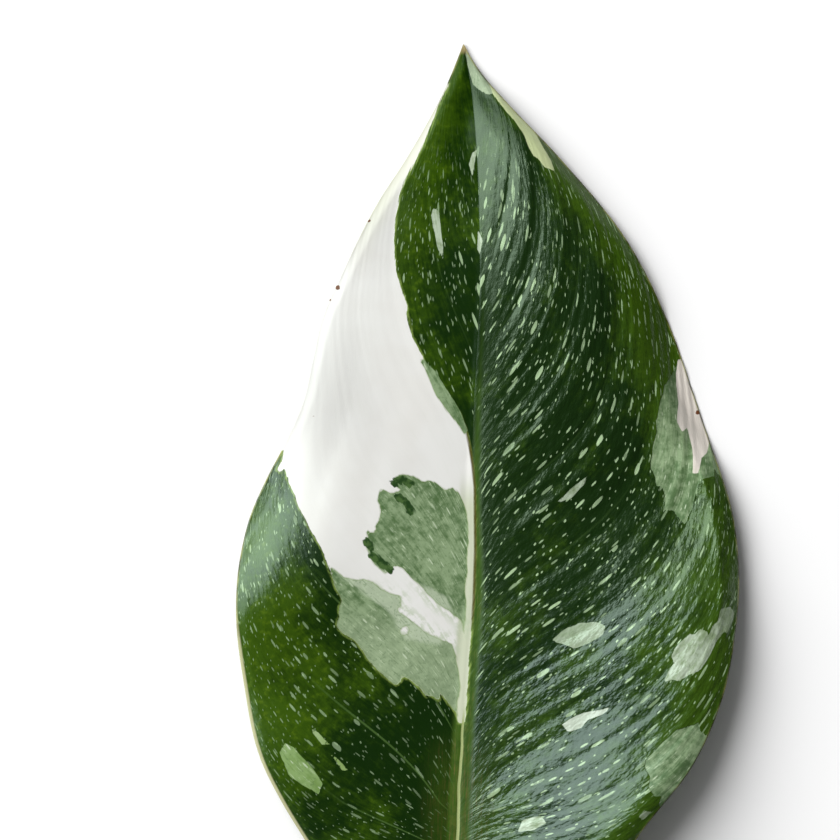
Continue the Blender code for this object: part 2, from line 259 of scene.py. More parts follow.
RIB_SAGE = (
    (-17.2, 40.5), (-14.9, 40), (-13.1, 38.9), (-11.5, 39.2), (-10, 38.5), (-8.4, 37.2), (-7, 37.7),
    (-5.7, 36.5), (-4.9, 34.6), (-4.3, 32.8), (-3.9, 29.9), (-3.8, 26.9), (-4.2, 23.8), (-4.1, 21.2),
    (-4.5, 17.5), (-4.3, 14.2), (-4.7, 8.8), (-5.3, 11.2), (-7.8, 13.2), (-10, 14.6), (-12.1, 16.5),
    (-13.1, 17.9), (-14.7, 19.3), (-16.8, 21.6), (-18.4, 22.2), (-19.2, 21.4), (-20.4, 20.6),
    (-22.5, 22.4), (-23.4, 24), (-24.3, 26.1), (-23.9, 27.7), (-24.2, 29.3), (-23.3, 28.7),
    (-22.1, 28.9), (-22.4, 30.1), (-21.7, 31), (-21.2, 33), (-21.9, 35.4), (-21.3, 37.5),
    (-19.2, 36.5), (-18.4, 36.7), (-17.4, 37.3), (-18.4, 38.3), (-18.8, 39.5),
)
STRIP_SAGE = (
    (-13.5, 63), (-12.5, 61.6), (-11.3, 58.6), (-10.1, 55.8), (-8.1, 53), (-6.3, 51), (-4.7, 48.4),
    (-3.9, 49.2), (-5.7, 53.2), (-8.1, 57.2), (-10.1, 60.4), (-12.7, 63.2),
)
EDGE_SAGE = (
    (38.1, 63.2), (36.9, 60.1), (35.3, 58), (34.5, 55), (33.6, 51), (33.7, 48.6), (33, 46.5),
    (32.4, 41.6), (33.3, 40.3), (33.6, 38.1), (34.9, 37.9), (35.3, 36), (35.3, 33.3), (36.9, 33.2),
    (37.7, 32), (39.3, 30.4), (39.7, 31.2), (40.8, 33.6), (41.5, 37.3), (42.3, 39.2), (43.9, 39.8),
    (45, 40), (45.2, 41.4), (46.9, 39.6), (48.5, 41.2), (42.5, 61.2), (39.7, 63.2),
)
TIP_SAGE = (
    (-4.3, 124.1), (-4, 122.2), (-3.5, 120.1), (-2.8, 118), (-1.3, 116.9), (0, 116.1), (1.1, 116.3),
    (4.5, 115.2), (0.5, 124.2), (-4.1, 126.2),
)
CORNER_SAGE = (
    (39.7, -9.7), (41.7, -8.9), (42.1, -10.6), (43.3, -11.4), (45.5, -13.8), (36.5, -27.8),
    (34.3, -25.5), (33.8, -25), (34.4, -23.2), (32.9, -23.2), (31.8, -21.5), (32.1, -19.6),
    (31, -17.7), (31.2, -16), (33.4, -13.9), (36.4, -11.1), (37.5, -10),
)
LOW_SAGE = (
    (-41.5, -15), (-40.5, -13.2), (-38.5, -14), (-36.7, -16.4), (-34.7, -18.4), (-32.9, -21.2),
    (-33.7, -23.2), (-36.1, -22), (-39.5, -19.8),
)
BASE_SAGE = (
    (8.5, -37.5), (11.5, -36), (15, -36.8), (18.5, -39.5), (16.5, -43), (12.5, -44.6), (10.2, -42),
)
SAGES = (RIB_SAGE, STRIP_SAGE, EDGE_SAGE, TIP_SAGE, CORNER_SAGE, LOW_SAGE, BASE_SAGE)
MILKY_SAGE = (
    (-32.3, 22.8), (-28.8, 19.7), (-25.5, 17.3), (-22.9, 15), (-20.4, 13.6), (-18.8, 11.6),
    (-17.6, 8.9), (-16.4, 7.5), (-10, 6.4), (-6, 8), (-8, 16), (-20, 22),
)
WHITE_BAND = ((-17.4, 13.4), (-15.1, 11.8), (-13.1, 10.2), (-11.5, 8.9), (-9, 7.9), (-7, 7.1))
BAND_HALF_WIDTH = 0.55
WHITE_SPOT = (-16.6, 9.2, 0.9)  # across, along and radius, as in the lists below
CREAM_STRIP = (
    (-0.7, 121.2), (1.1, 116.1), (3.5, 112.9), (5.6, 110.5), (7.2, 108), (8.1, 105.6), (9, 103.9),
    (10.2, 103), (11.3, 101.5), (13.3, 100.8), (12.6, 103), (11.3, 105.1), (9.9, 107.8),
    (8.3, 110.2), (6.5, 116.2), (1.5, 122.8),
)
CREAM_CORE = (
    (38, 63.2), (37.7, 60.6), (37.7, 58), (38.1, 54.5), (37.7, 51), (38.8, 48.9), (39.9, 49.7),
    (40.8, 45.4), (40.9, 40.6), (42, 40.6), (42.6, 43.5), (43.9, 44.8), (44.4, 47.2), (45.7, 48),
    (42.5, 59.2), (39.5, 63.6),
)
PALE_MARKS = (
    ((12.7, 7.2), (14.9, 9.4), (18.3, 10.8), (21.9, 11), (23.5, 10.2), (22.7, 8.2), (19.9, 6.6),
     (17.1, 5.8), (14.9, 6.6)),
    ((34.8, -0.8), (35.6, 0.9), (37, 3.1), (36.3, 4.2), (37, 5.9), (38.6, 7.5), (40.3, 8.9),
     (40.8, 8.5), (42.2, 9.7), (43.3, 9.3), (43.9, 8.3), (44.4, 10), (45.8, 11.6), (46, 13.6),
     (48.2, 14.1), (49.1, 12.7), (48.6, 11.1), (47.4, 8.6), (46.9, 9.2), (45.5, 7.3), (43.9, 4.5),
     (42.2, 1.5), (40.3, 0.9), (37.8, -0.6), (36.4, -0.3)),
    ((14.7, -9.4), (16.7, -8), (19.1, -7), (22.3, -6.4), (24.5, -5.8), (23.1, -7.2), (19.9, -8.4),
     (18.7, -10), (15.9, -10.8)),
    ((-10.9, 93.4), (-9.7, 92.8), (-8.9, 85.8), (-8.9, 83), (-10.1, 85.8), (-11.3, 92)),
    ((-3.3, 104.2), (-2.1, 105.2), (-2.5, 103.2), (-3.1, 99.6), (-3.7, 102.2)),
    ((-1.9, 89), (-1.1, 87.2), (-1.5, 83.8), (-2.1, 85.2)),
    ((13.9, 34.8), (16.7, 37.6), (19.9, 40.2), (19.1, 38.4), (16.7, 35.6)),
    ((5.9, -30.8), (6.9, -28.4), (10.5, -27.4), (11.7, -28.8), (8.9, -30.4)),
    ((29.7, -27.2), (30.9, -26), (32.3, -26.4), (30.5, -28)),
    ((-35.3, -10.4), (-33.9, -11), (-31.3, -13.6), (-33.1, -13.4)),
    ((-31.3, -15.4), (-30.1, -16.2), (-27.5, -18.8), (-29.1, -18.6)),
    ((-22, -38), (-20.2, -38.6), (-18.5, -43), (-21.2, -41.6)),
)
GREEN_STROKES = (
    ((-18.7, 38.6), (-17, 39.4), (-15.5, 38.6)),
    ((-17.8, 36), (-16.2, 34.6), (-15.2, 33)),
    ((-24.2, 27), (-23.2, 25.6)),
    ((-23, 24.4), (-21.2, 22.6), (-19.4, 21.4)),
)
STROKE_HALF_WIDTH = 0.8
BROWN_SPOTS = (
    (-29.9, 77.6, 0.5), (-31.5, 75.2, 0.35), (-23.6, 90.9, 0.35), (42, 52.7, 0.45),
    (-34.7, 52, 0.14), (-37.1, 49.6, 0.14), (-25.7, 48.2, 0.16),
)


def smooth(keys, values, at):
    """Reads a smooth curve through the values at rising keys. A value may be an array like at."""
    keys = np.asarray(keys, float)
    values = np.asarray(values, float)
    slopes = np.gradient(values, keys, axis=0)
    at = np.clip(at, keys[0], keys[-1])
    low = np.clip(np.searchsorted(keys, at) - 1, 0, len(keys) - 2)
    span = keys[low + 1] - keys[low]
    part = (at - keys[low]) / span
    rest = 1 - part

    def read(table, row):
        if table.ndim == 1:
            return table[row]
        return np.take_along_axis(table, row[None], axis=0)[0]

    near = read(values, low) * (1 + 2 * part) + read(slopes, low) * span * part
    far = read(values, low + 1) * (1 + 2 * rest) - read(slopes, low + 1) * span * rest
    return near * rest**2 + far * part**2


def smooth_mm(keys, values, at):
    """The same for tables in millimetres, read and returned in metres."""
    return smooth(keys, values, np.asarray(at) / MM) * MM


def ease(low, high, at):
    """Rises softly from 0 at low to 1 at high."""
    part = np.clip((at - low) / (high - low), 0, 1)
    return part * part * (3 - 2 * part)


def midrib_across(along):
    return smooth_mm(MIDRIB_KEYS, MIDRIB_ACROSS, along)


def fan_part(station):
    """Rises from 0 to 1 over the rows that fan out round the joint."""
    return np.clip((station - FAN_TOP) / FAN_SPAN + 1, 0, 1)


class Half:
    """One half of the blade, the left with side -1 and the right with 1."""

    def __init__(self, side, edge, heights, vein_shift):
        self.side = side
        self.heights = np.array(heights)
        self.vein_shift = vein_shift
        self.calm = LEFT_CALM if side < 0 else 1.0
        points = np.array(edge) * MM
        steps = np.linalg.norm(np.diff(points, axis=0), axis=1)
        along = np.concatenate([[0], np.cumsum(steps)])
        fine = np.linspace(0, along[-1], EDGE_SAMPLES)
        self.edge_x = smooth(along, points[:, 0], fine)
        self.edge_y = smooth(along, points[:, 1], fine)
        top = np.argmin(np.abs(self.edge_y - FAN_TOP))
        fan = FAN_TOP - FAN_SPAN * (1 - fine / fine[top])
        self.edge_station = np.where(np.arange(EDGE_SAMPLES) < top, fan, self.edge_y)

    def rim(self):
        """The edge as a line of points."""
        return list(zip(self.edge_x[::RIM_STRIDE], self.edge_y[::RIM_STRIDE]))

    def edge_at(self, station):
        x = np.interp(station, self.edge_station, self.edge_x)
        y = np.interp(station, self.edge_station, self.edge_y)
        return x, y

    def root_at(self, station):
        """The end of a row on the midrib."""
        low = STALK_JOINT[1] + (FAN_TOP - STALK_JOINT[1]) * fan_part(station) ** FAN_BEND
        y = np.where(station < FAN_TOP, low, station)
        return midrib_across(y), y

    def reach(self, station):
        """The length of a row, from the midrib to the edge."""
        root_x, root_y = self.root_at(station)
        edge_x, edge_y = self.edge_at(station)
        return np.hypot(edge_x - root_x, edge_y - root_y)

    def relief(self, station):
        return np.clip(self.reach(station) / FULL_RELIEF, 0, 1) ** 2

    def vein_climb(self, station, share):
        """How far a side vein climbs along the leaf for each share of the way out."""
        row = np.maximum(station, FAN_TOP)
        step = 0.5 * MM
        root = midrib_across(row) * self.side
        edge = self.edge_at(row)[0] * self.side
        root_slope = (midrib_across(row + step) * self.side - root) / step
        edge_slope = (self.edge_at(row + step)[0] * self.side - edge) / step
        start = np.radians(smooth(VEIN_KEYS, VEIN_ANGLE, row / MM))
        end = np.arctan(edge_slope) + math.radians(VEIN_EDGE_ANGLE)
        bend = smooth(VEIN_KEYS, VEIN_BEND, row / MM)
        angle = start + (end - start) * share**bend
        drift = root_slope + (edge_slope - root_slope) * share
        climb = (edge - root) * np.cos(angle) / (np.sin(angle) - drift * np.cos(angle))
        return climb * fan_part(station)

    def walk_vein(self, station, share):
        """Where the side vein through a place leaves the midrib, and its length from there."""
        length = np.zeros_like(station)
        for step in range(VEIN_STEPS):
            here = share * (1 - (step + 0.5) / VEIN_STEPS)
            climb = self.vein_climb(station, here)
            length += np.hypot(self.reach(station), climb) * share / VEIN_STEPS
            station = station - climb * share / VEIN_STEPS
        return station, length

    def height(self, station, share, vein):
        """The height of the solid's upper face."""
        root_y = self.root_at(station)[1]
        reach = self.reach(station)
        relief = self.relief(station)
        valley = smooth_mm(MIDRIB_KEYS, MIDRIB_HEIGHT, root_y)
        columns = [smooth_mm(STATIONS, column, station) for column in self.heights.T]
        height = smooth(SHARES, [valley] + columns, share)
        height = valley + (height - valley) * np.clip(reach / NARROW_ROW, 0, 1)
        wave = np.sin(2 * math.pi * station / WAVE_LENGTH + self.side)
        height += WAVE_DEPTH * relief * share**3 * wave
        count = (vein - FIRST_VEIN - self.vein_shift) / VEIN_PITCH
        pleat = np.clip((share - PLEAT_START) / (PLEAT_FULL - PLEAT_START), 0, 1)
        pleat *= relief * (1 - PLEAT_LOSS * share**4)
        height -= PLEAT_DEPTH * self.calm * pleat * np.cos(2 * math.pi * count)
        above = (height - RESTING_HEIGHT) / RESTING_BEND
        return RESTING_HEIGHT + RESTING_BEND * np.logaddexp(0, above)


def outline_distance(x, y, outline):
    """Distance to a closed outline, positive inside it."""
    nearest = line_distance(x, y, outline + outline[:1])
    inside = np.zeros(x.shape, bool)
    for (ax, ay), (bx, by) in zip(outline, outline[1:] + outline[:1]):
        if ay != by:
            inside ^= ((ay > y) != (by > y)) & (x < ax + (y - ay) * (bx - ax) / (by - ay))
    return np.where(inside, nearest, -nearest)


def line_distance(x, y, points):
    """Distance to a line through the points."""
    nearest = np.full(x.shape, np.inf)
    for (ax, ay), (bx, by) in zip(points, points[1:]):
        run_x, run_y = bx - ax, by - ay
        part = ((x - ax) * run_x + (y - ay) * run_y) / (run_x**2 + run_y**2)
        part = np.clip(part, 0, 1)
        nearest = np.minimum(nearest, np.hypot(x - ax - part * run_x, y - ay - part * run_y))
    return nearest


def spots_distance(x, y, spots):
    """Distance to the nearest spot's edge, positive inside it."""
    return np.max([radius - np.hypot(x - across, y - along) for across, along, radius in spots], axis=0)


def most(distances):
    return np.max(list(distances), axis=0)


def lane_of(vein):
    """Turns the place where a vein leaves the midrib into a distance across the veins there."""
    starts = np.linspace(FAN_TOP - FAN_SPAN, LEAF_TIP, EDGE_SAMPLES)
    spread = np.sin(np.radians(smooth(VEIN_KEYS, VEIN_ANGLE, starts / MM)))
    step = starts[1] - starts[0]
    return np.interp(vein, starts, np.cumsum(spread) * step)


class Sheet:
    """One face of the blade: its grid of points, with what is known of each."""

    def __init__(self, halves, rows, columns):
        low = FAN_TOP - FAN_SPAN * (1 - FAN_START)
        stations = np.linspace(low, LEAF_TIP, rows + 1)
        places = np.linspace(-1, 1, 2 * columns + 1)
        station, place = (grid.ravel() for grid in np.meshgrid(stations, places, indexing="ij"))
        out = np.abs(place)
        share = out - CROWDING * np.sin(2 * math.pi * out) / (2 * math.pi)
        self.shape = (rows + 1, 2 * columns + 1)
        self.station = station
        self.share = share
        self.side = np.where(place < 0, -1.0, 1.0)
        self.x, self.y, self.solid, self.vein, self.out = np.zeros((5, len(station)))
        self.shift, self.relief, self.root_y, self.calm = np.zeros((4, len(station)))
        for half in halves:
            mine = self.side == half.side
            row, part = station[mine], share[mine]
            root_x, root_y = half.root_at(row)
            edge_x, edge_y = half.edge_at(row)
            self.x[mine] = root_x + (edge_x - root_x) * part
            self.y[mine] = root_y + (edge_y - root_y) * part
            self.vein[mine], length = half.walk_vein(row, part)
            self.out[mine] = length * half.side
            self.solid[mine] = half.height(row, part, self.vein[mine])
            self.shift[mine] = half.vein_shift
            self.relief[mine] = half.relief(row)
            self.root_y[mine] = root_y
        self.edge = np.min([line_distance(self.x, self.y, half.rim()) for half in halves], axis=0)
        self.across = self.x - midrib_across(self.y)
        start, full, last, end = SWEEP_STATIONS
        swept = ease(start, full, self.y) * (1 - ease(last, end, self.y))
        for half, (climb, reach) in zip(halves, (LEFT_SWEEP, RIGHT_SWEEP)):
            mine = self.side == half.side
            self.calm[mine] = half.calm
            self.vein[mine] += (climb * swept * np.exp(-np.abs(self.across) / reach))[mine]
        self.lane = lane_of(self.vein)

    def vein_count(self):
        """Rises by one from each main side vein to the next."""
        return (self.vein - FIRST_VEIN - self.shift) / VEIN_PITCH

    def vein_gap(self):
        """Distance to the nearest main side vein, counted along the midrib."""
        count = self.vein_count()
        return np.abs(count - np.round(count)) * VEIN_PITCH

    def fade(self):
        """0 at the midrib and on short rows, where the blade has no fine relief, and 1 beyond."""
        return ease(PLEAT_START, PLEAT_FULL, self.share) * self.relief


def slow_wave(sheet, size, out, along, phase):
    return size * np.sin(sheet.out / out + sheet.vein / along + phase)


def ridges(sheet):
    """Ridges that follow the side veins, uneven in pitch and depth."""
    total = np.zeros_like(sheet.x)
    for count, (pitch, depth) in enumerate(zip(RIDGE_PITCHES, RIDGE_DEPTHS)):
        turn, beat, start = (phase * count for phase in RIDGE_PHASES)
        drift = slow_wave(sheet, *RIDGE_DRIFT, turn)
        fade = 1 - RIDGE_FADE[0] + slow_wave(sheet, *RIDGE_FADE, beat)
        total += depth * fade * np.sin(2 * math.pi * sheet.lane / pitch + drift + start)
    return total


def dents(sheet):
    """Slow unevenness of the whole blade, from heights drawn at random on three square grids."""
    draw = np.random.default_rng(DENT_SEED)
    total = np.zeros_like(sheet.x)
    for pitch, depth in zip(DENT_PITCHES, DENT_DEPTHS):
        heights = draw.uniform(-1, 1, (DENT_CELLS, DENT_CELLS))
        column, row = sheet.x / pitch + DENT_CELLS / 2, sheet.y / pitch + DENT_CELLS / 2
        left, low = column.astype(int), row.astype(int)
        right = ease(0, 1, column - left)
        up = ease(0, 1, row - low)
        near = heights[low, left] * (1 - right) + heights[low, left + 1] * right
        far = heights[low + 1, left] * (1 - right) + heights[low + 1, left + 1] * right
        total += depth * (near * (1 - up) + far * up)
    return total


def midrib_rise(along):
    """How far the midrib stands out of the upper face, as a share of its radius."""
    return MIDRIB_PROUD * (1 - ease(*RIB_FADE, along))


def upper_face(sheet):
    """The height of the blade's upper face, with its fine relief."""
    fade = sheet.fade()
    height = sheet.solid + fade * sheet.calm * (ridges(sheet) + dents(sheet))
    height -= GROOVE_DEPTH * fade * sheet.calm * np.exp(-((sheet.vein_gap() / GROOVE_WIDTH) ** 2))
    bank = 1 - np.exp(-np.clip(sheet.across, 0, None) / BANK_REACH)
    bank *= (1 - ease(*BANK_SHARES, sheet.share)) * (1 - ease(*BANK_STATIONS, sheet.y))
    height += BANK_RISE * bank * sheet.relief
    radius = smooth_mm(STEM_KEYS, STEM_RADIUS, sheet.y)
    bulge = np.cos(np.clip(sheet.across / (RIB_SPREAD * radius), -1, 1) * math.pi / 2) ** 2
    started = ease(STALK_JOINT[1], STALK_JOINT[1] + RIB_RISE, sheet.y)
    height += midrib_rise(sheet.y) * bulge * radius * started
    height -= EDGE_THIN * (1 - ease(0, EDGE_REACH, sheet.edge))
    start, full, last, end = ROLL_STATIONS
    rolled = ease(start, full, sheet.station) * (1 - ease(last, end, sheet.station))
    rolled *= sheet.side > 0
    place = sheet.edge / ROLL_REACH
    crest = ROLL_CREST * np.exp(-np.clip(place - 1, 0, None))
    return height + rolled * (crest * np.clip(place, 0, 1) - ROLL_DEPTH * np.clip(1 - place, 0, 1))


def under_face(sheet):
    """The height of the blade's under face, where the veins stand out."""
    fade = sheet.fade()
    height = sheet.solid - BLADE_THICKNESS + fade * sheet.calm * dents(sheet)
    narrow = 1 - 0.5 * ease(0.3, 1, sheet.share)
    vein = np.exp(-((sheet.vein_gap() / (UNDER_SPREAD * GROOVE_WIDTH)) ** 2))
    height -= UNDER_VEIN * fade * narrow * vein
    radius = smooth_mm(STEM_KEYS, STEM_RADIUS, sheet.y)
    beside = np.clip(np.abs(sheet.across) - radius, 0, None)
    rise, reach = UNDER_RIB
    height -= rise * radius * np.exp(-beside / (reach * radius)) * sheet.relief
    height = np.minimum(height, upper_face(sheet) - LEAST_THICKNESS)
    return np.maximum(height, LOWEST)


def markings(sheet):
    """What the materials read at each point, with every distance in millimetres."""
    x, y = sheet.x / MM, sheet.y / MM

    def area(*outlines):
        return most(outline_distance(x, y, outline) for outline in outlines)

    white = area(WHITE_SECTOR)
    sage = np.maximum(np.minimum(area(LOBE_SAGE), white), area(*SAGES))
    band = BAND_HALF_WIDTH - line_distance(x, y, WHITE_BAND)
    bare = np.maximum(band, spots_distance(x, y, (WHITE_SPOT,)))
    return {
        "lane": sheet.lane / MM,
        "out": sheet.out / MM,
        "share": sheet.share,
        "across": sheet.across / MM,
        "along": y,
        "edge": sheet.edge / MM,
        "veins": sheet.vein_count(),
        "white": white,
        "sage": np.minimum(sage, -bare),
        "milky": area(MILKY_SAGE),
        "pale": area(*PALE_MARKS),
        "cream": area(CREAM_STRIP, CREAM_CORE),
        "green": STROKE_HALF_WIDTH + most(-line_distance(x, y, stroke) for stroke in GREEN_STROKES),
        "brown": spots_distance(x, y, BROWN_SPOTS),
    }


def grid_faces(shape):
    index = np.arange(shape[0] * shape[1]).reshape(shape)
    corners = (index[:-1, :-1], index[:-1, 1:], index[1:, 1:], index[1:, :-1])
    return np.stack(corners, axis=-1).reshape(-1, 4)


def grid_border(shape):
    """The points round a grid's border, anticlockwise, with the first one again at the end."""
    index = np.arange(shape[0] * shape[1]).reshape(shape)
    sides = (index[0, :-1], index[:-1, -1], index[-1, :0:-1], index[::-1, 0])
    return np.concatenate(sides)


def rim_faces(fine, coarse):
    """Joins the upper face's border to the under face's, which has half as many points."""
    faces = []
    for count, (near, far) in enumerate(zip(coarse, coarse[1:])):
        first, middle, last = fine[2 * count:2 * count + 3]
        faces += [(middle, first, near), (middle, near, far), (last, middle, far)]
    return faces


def new_object(name, data):
    thing = bpy.data.objects.new(name, data)
    bpy.context.scene.collection.objects.link(thing)
    return thing


def new_piece(name, points, faces, values, materials):
    mesh = bpy.data.meshes.new(name)
    mesh.from_pydata(points.tolist(), [], faces)
    for word, numbers in values.items():
        field = mesh.attributes.new(word, "FLOAT", "POINT")
        field.data.foreach_set("value", numbers.astype(np.float32))
    for material in materials:
        mesh.materials.append(material)
    mesh.shade_smooth()
    mesh.validate()
    piece = new_object(name, mesh)
    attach(piece, "root")
    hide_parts("leaf")
    return piece


def make_blade(halves):
    upper = Sheet(halves, ROWS, COLUMNS)
    under = Sheet(halves, ROWS // 2, COLUMNS // 2)
    top = np.stack((upper.x, upper.y, upper_face(upper)), axis=1)
    bottom = np.stack((under.x, under.y, under_face(under)), axis=1)
    upper_faces = grid_faces(upper.shape)
    under_faces = grid_faces(under.shape)[:, ::-1] + len(top)
    rim = rim_faces(grid_border(upper.shape), grid_border(under.shape) + len(top))
    faces = upper_faces.tolist() + rim + under_faces.tolist()
    seen, hidden = markings(upper), markings(under)
    values = {word: np.concatenate((seen[word], hidden[word])) for word in seen}
    materials = [blade_material("leaf_upper", False), blade_material("leaf_under", True)]
    blade = new_piece("blade", np.concatenate((top, bottom)), faces, values, materials)
    kinds = np.zeros(len(faces), np.int32)
    kinds[len(upper_faces) + len(rim):] = 1
    blade.data.polygons.foreach_set("material_index", kinds)
    return blade


def make_stem():
    """The stalk, and the rib that it runs on as under the blade."""
    past_end, last_size = LAST_RING
    along = np.linspace(STALK_END, STEM_END, STEM_RINGS)
    along = np.concatenate((STALK_END + np.array(CUT_SINK), along[1:], [STEM_END + past_end]))
    size = np.concatenate((CUT_SIZE, np.ones(STEM_RINGS - 1), [last_size]))
    radius = smooth_mm(STEM_KEYS, STEM_RADIUS, along)
    joined = ease(STALK_JOINT[1] - JOINT_REACH, STALK_JOINT[1] + JOINT_REACH, along)
    rib_top = smooth_mm(MIDRIB_KEYS, MIDRIB_HEIGHT, along) + midrib_rise(along) * radius - RIB_HIDDEN
    top = rib_top * joined + smooth_mm(STALK_KEYS, STALK_TOP, along) * (1 - joined)
    middle = midrib_across(along) * joined + smooth_mm(STALK_KEYS, STALK_ACROSS, along) * (1 - joined)
    angle = np.linspace(0, 2 * math.pi, STEM_SIDES, endpoint=False)
    from_top = np.arccos(np.sin(angle))  # the angle from straight up
    channel = CHANNEL_DEPTH * np.exp(-((from_top / CHANNEL_WIDTH) ** 2))
    lines = LINE_DEPTH * np.sin(LINE_COUNTS[0] * angle) * np.sin(LINE_COUNTS[1] * angle + 1)
    girth = radius[:, None] * (1 - np.outer(1 - joined, channel + lines)) * size[:, None]
    across = girth * np.cos(angle)
    rise = girth * np.sin(angle)
    x = middle[:, None] + across
    y = np.repeat(along[:, None], STEM_SIDES, axis=1)
    z = np.maximum((top - radius)[:, None] + rise, LOWEST)
    points = np.stack((x, y, z), axis=-1).reshape(-1, 3)
    index = np.arange(len(points)).reshape(-1, STEM_SIDES)
    turned = np.roll(index, -1, axis=1)
    faces = np.stack((index[:-1], index[1:], turned[1:], turned[:-1]), axis=-1).reshape(-1, 4).tolist()
    faces += [index[0].tolist(), index[-1, ::-1].tolist()]
    values = {"across": across.ravel() / MM, "rise": rise.ravel() / MM, "along": y.ravel() / MM}
    return new_piece("stalk", points, faces, values, [stem_material()])


class Signal:
    """A number or a colour in a tree of nodes. Sums and products of signals add nodes."""

    def __init__(self, graph, socket):
        self.graph = graph
        self.socket = socket

    def __add__(self, other):
        return self.graph.math("ADD", self, other)

    def __sub__(self, other):
        return self.graph.math("SUBTRACT", self, other)

    def __mul__(self, other):
        return self.graph.math("MULTIPLY", self, other)

    def most(self, other):
        return self.graph.math("MAXIMUM", self, other)

    def size(self):
        return self.graph.math("ABSOLUTE", self, 0)

    def rise(self, low, high):
        """0 below low, 1 above high and a soft step between."""
        return self.graph.soft_step(self, low, high, 0, 1)

    def fall(self, low, high):
        """1 below low, 0 above high and a soft step between."""
        return self.graph.soft_step(self, low, high, 1, 0)

    def coat(self, share, colour):
        """This colour with another laid over a share of it."""
        return self.graph.mix(share, self, colour)


class Graph:
    """The nodes of a material or of the world, and the shader that they end in."""

    def __init__(self, owner, shader="Principled BSDF"):
        self.owner = owner
        owner.use_nodes = True
        self.tree = owner.node_tree
        self.shader = self.tree.nodes[shader]

    def set(self, word, value):
        self.feed(self.shader.inputs[word], value)

    def feed(self, socket, value):
        if isinstance(value, Signal):
            self.tree.links.new(value.socket, socket)
        else:
            socket.default_value = value

    def node(self, kind, inputs, output=0, **settings):
        node = self.tree.nodes.new(kind)
        for word, value in settings.items():
            setattr(node, word, value)
        for place, value in inputs.items():
            self.feed(node.inputs[place], value)
        return Signal(self, node.outputs[output])

    def math(self, operation, first, second):
        return self.node("ShaderNodeMath", {0: first, 1: second}, operation=operation)

    def soft_step(self, value, low, high, start, end):
        inputs = {0: value, 1: low, 2: high, 3: start, 4: end}
        return self.node("ShaderNodeMapRange", inputs, interpolation_type="SMOOTHSTEP")

    def read(self, words):
        """The mesh's fields of those names."""
        return [self.node("ShaderNodeAttribute", {}, "Fac", attribute_name=word) for word in words.split()]

    def point(self, x, y, z=0):
        return self.node("ShaderNodeCombineXYZ", {0: x, 1: y, 2: z})

    def noise(self, where, size, detail=2, roughness=0.5):
        inputs = {"Vector": where, "Scale": 1 / size, "Detail": detail, "Roughness": roughness}
        return self.node("ShaderNodeTexNoise", inputs, "Fac")

    def bump(self, depth, height):
        return self.node("ShaderNodeBump", {"Strength": 1, "Distance": depth, "Height": height})

    def mix(self, share, low, high):
        """Low where the share is 0, high where it is 1."""
        return self.node("ShaderNodeMix", {0: share, 6: low, 7: high}, 2, data_type="RGBA")

    def flecks(self, lane, out, cell, length, radius, filled, seed):
        """Short dashes along the veins, one in some of the cells of a loose grid."""
        where = self.point(lane * (1 / cell) + seed, out * (1 / (cell * length)) + seed)
        inputs = {"Vector": where, "Scale": 1, "Exponent": FLECK_POWER, "Randomness": 1}
        gap = self.node("ShaderNodeTexVoronoi", inputs, 0, distance="MINKOWSKI", voronoi_dimensions="2D")
        drawn = self.tree.nodes.new("ShaderNodeSeparateColor")
        self.tree.links.new(gap.socket.node.outputs["Color"], drawn.inputs[0])
        chance, width, light = (Signal(self, drawn.outputs[count]) for count in range(3))
        width = (width * 0.7 + 0.5) * (radius / cell)
        fleck = (width - gap).rise(-0.04 / cell, 0.06 / cell)
        return fleck * chance.fall(filled, filled + 0.02), light


def tint(red, green, blue):
    """A colour as it looks in this light, on the usual scale of 0 to 255, for a shader."""
    parts = [part / 255 for part in (red, green, blue)]
    linear = [((part + 0.055) / 1.055) ** 2.4 if part > 0.04045 else part / 12.92 for part in parts]
    return tuple(part / LIGHT_LEVEL for part in linear) + (1,)


# Green tissue and the midrib
GREENS = tint(16, 42, 3), tint(56, 86, 7)
LIME = tint(90, 118, 20)
VEIN = tint(90, 122, 62)
FLECK = tint(180, 208, 162)
OLIVES = tint(72, 100, 32), tint(84, 92, 34)
RIB_GREEN = tint(58, 92, 18)
RIB_BROWN = tint(124, 106, 58)
RIB_SHADE = tint(48, 76, 18)
RIB_LINE = tint(158, 170, 112)

# White tissue
FRINGE = tint(140, 165, 80)
WHITES = tint(240, 240, 236), tint(235, 234, 229)
# painted shade for the white, where the blade tilts towards the window and catches more light
PAINTED_SHADE_WHITE = tint(224, 224, 220)
TIP_WHITE = tint(216, 218, 198)
RIB_WHITE = tint(190, 199, 166)
WHITE_STREAK = tint(190, 205, 175)
THIN_WHITE = tint(188, 202, 172)
SEAM = tint(78, 66, 20)

# Grey-green tissue
GREY_GREENS = tint(82, 111, 66), tint(144, 167, 126)
LIGHT_SAGE = tint(176, 194, 158)
YELLOW_SAGE = tint(134, 168, 86)
GREY_SAGE = tint(150, 164, 138)
MILKY = tint(192, 206, 178)
SAGE_GRAIN = tint(84, 112, 72)
SAGE_THREAD = tint(196, 214, 178)
SAGE_GAP = tint(84, 112, 68)
SAGE_DOT = tint(206, 222, 190)
SAGE_BORDER = tint(120, 146, 78)

# Marks on the green, the margins and the spots
MARKS = tint(136, 156, 118), tint(184, 200, 176)
EDGE_MARK = tint(150, 170, 142)
WHITE_MARK = tint(200, 212, 196)
YELLOW_MARK = tint(138, 170, 88)
CREAMS = tint(230, 222, 212), tint(200, 212, 160)
DULL_CREAM = tint(206, 196, 182)
DARK_STROKES = tint(34, 64, 22), tint(74, 104, 52)
RIMS = tint(62, 60, 26), tint(160, 160, 96)
CREAM_RIM = tint(205, 204, 160)
DRY_TIP = tint(168, 152, 104)
BROWN = tint(112, 62, 34)

